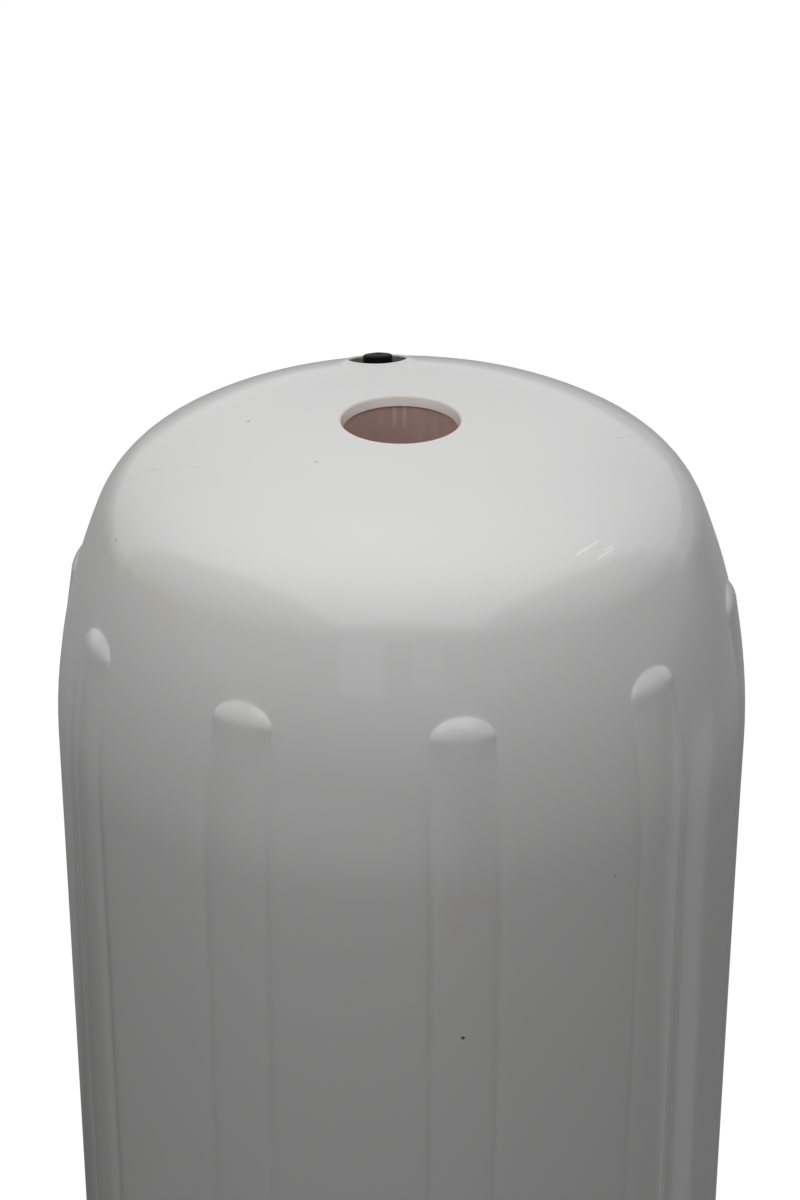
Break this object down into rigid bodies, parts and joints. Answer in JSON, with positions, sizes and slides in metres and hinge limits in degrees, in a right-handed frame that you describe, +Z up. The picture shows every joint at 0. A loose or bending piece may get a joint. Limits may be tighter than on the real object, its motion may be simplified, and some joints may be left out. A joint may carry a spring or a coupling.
{
  "type": "boat fender",
  "caption": "Ribbed white inflatable boat fender, a capsule standing on its end, with a rope tube through its middle and a black inflation valve beside the mouth.",
  "frame": {"origin": "middle of the lower end, on the plane of the flat ring that the fender stands on", "axes": "+Z up the fender's axis, along the rope tube; -Y towards the front; the valve is in the upper end, on the +Y side"},
  "size_m": [0.2158, 0.2154, 0.52],
  "materials": {
    "white_vinyl": "smooth glossy moulded vinyl, lightly scuffed",
    "black_rubber": "satin black rubber"
  },
  "bodies": {
    "root": {"fender_body": "white_vinyl", "inflation_valve": "black_rubber"}
  },
  "joints": []
}
